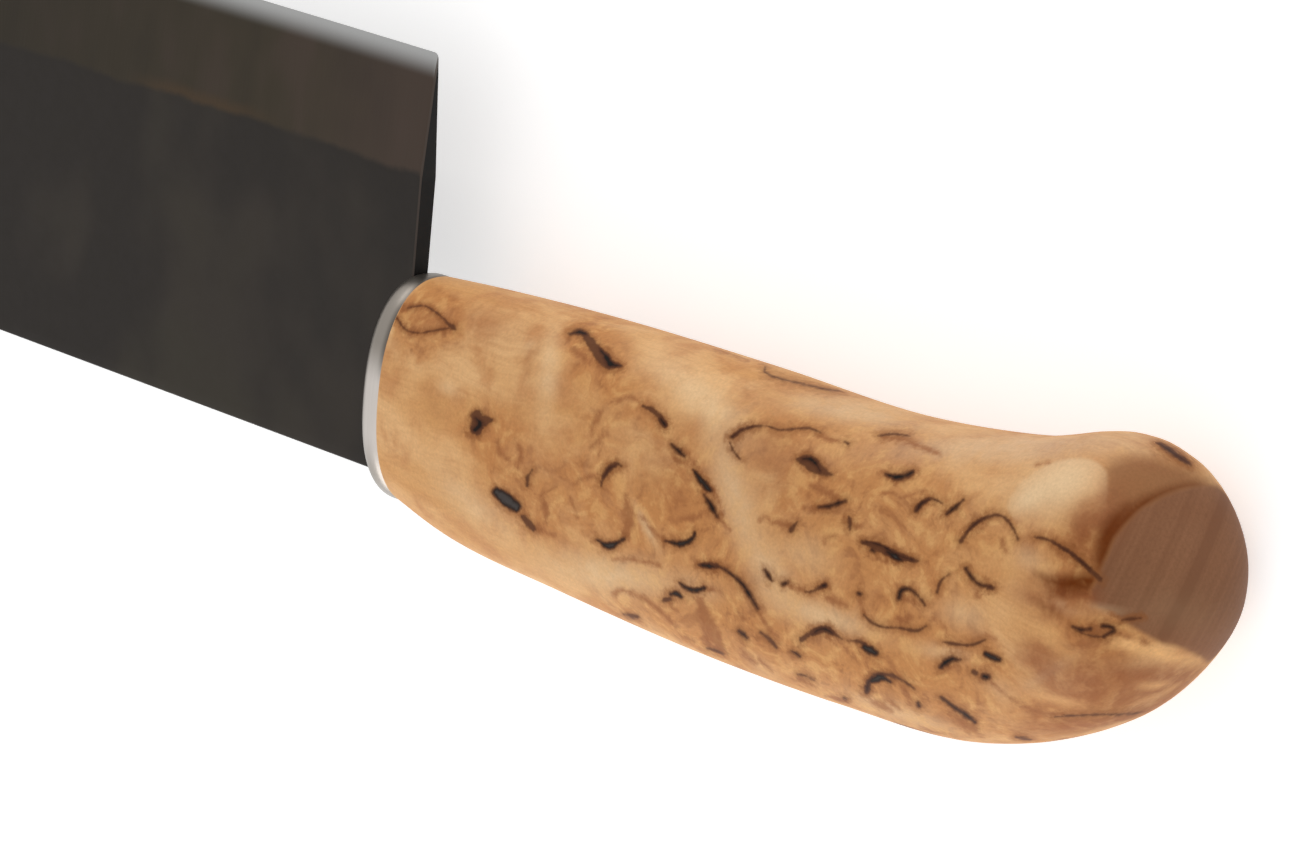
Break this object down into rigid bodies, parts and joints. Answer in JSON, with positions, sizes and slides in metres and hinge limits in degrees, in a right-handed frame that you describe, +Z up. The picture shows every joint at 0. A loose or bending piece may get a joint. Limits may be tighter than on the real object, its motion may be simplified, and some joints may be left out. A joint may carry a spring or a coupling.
{
  "type": "santoku kitchen knife",
  "caption": "Santoku kitchen knife with a dark forged carbon-steel blade, a slim metal ferrule and a carved curly-birch handle on a hidden tang.",
  "frame": {"origin": "middle of the knife's footprint, on the surface that it lies on, on its left side", "axes": "+X towards the tip, +Y towards the spine, +Z up, out of the blade's right face"},
  "size_m": [0.287, 0.0542, 0.025],
  "materials": {
    "forged_steel": "forged carbon steel, dark scale left on the flats, ground bevel and honed edge",
    "ferrule_metal": "satin nickel silver with a rounded rim",
    "curly_birch": "sanded and oiled curly birch with dark brown flecks",
    "adhesive": "cured amber epoxy, hidden in the mortise"
  },
  "bodies": {
    "root": {"blade": "forged_steel", "ferrule": "ferrule_metal", "handle": "curly_birch", "epoxy_bed": "adhesive"}
  },
  "joints": []
}
